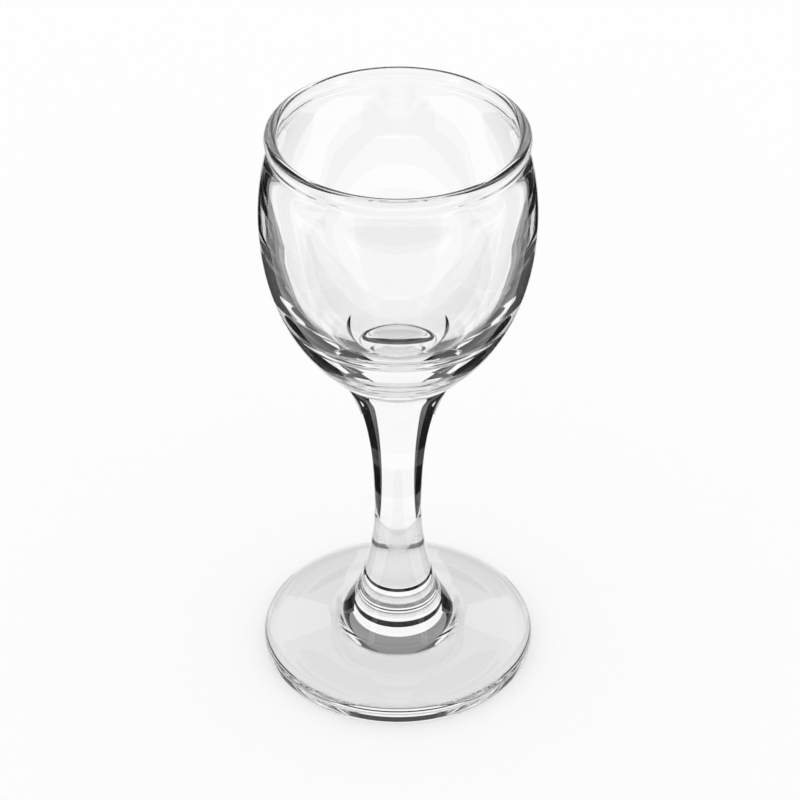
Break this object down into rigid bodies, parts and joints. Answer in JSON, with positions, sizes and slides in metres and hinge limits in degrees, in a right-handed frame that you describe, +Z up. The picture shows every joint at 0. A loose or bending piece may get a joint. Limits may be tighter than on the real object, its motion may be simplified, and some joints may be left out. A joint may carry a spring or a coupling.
{
  "type": "stemmed vodka glass",
  "caption": "Small clear drinking glass with a tulip-shaped bowl, a solid waisted stem and a round foot, for serving chilled spirits.",
  "frame": {"origin": "centre of the foot's resting ring, on the surface that the glass stands on", "axes": "+Z up along the axis that the glass is turned about, towards the rim; +X and +Y are level and alike"},
  "size_m": [0.05, 0.05, 0.11],
  "materials": {
    "bowl": "clear, fire polished",
    "stem": "clear, fire polished",
    "foot": "clear, fire polished"
  },
  "bodies": {
    "root": {"bowl": "bowl", "stem": "stem", "foot": "foot"}
  },
  "joints": []
}
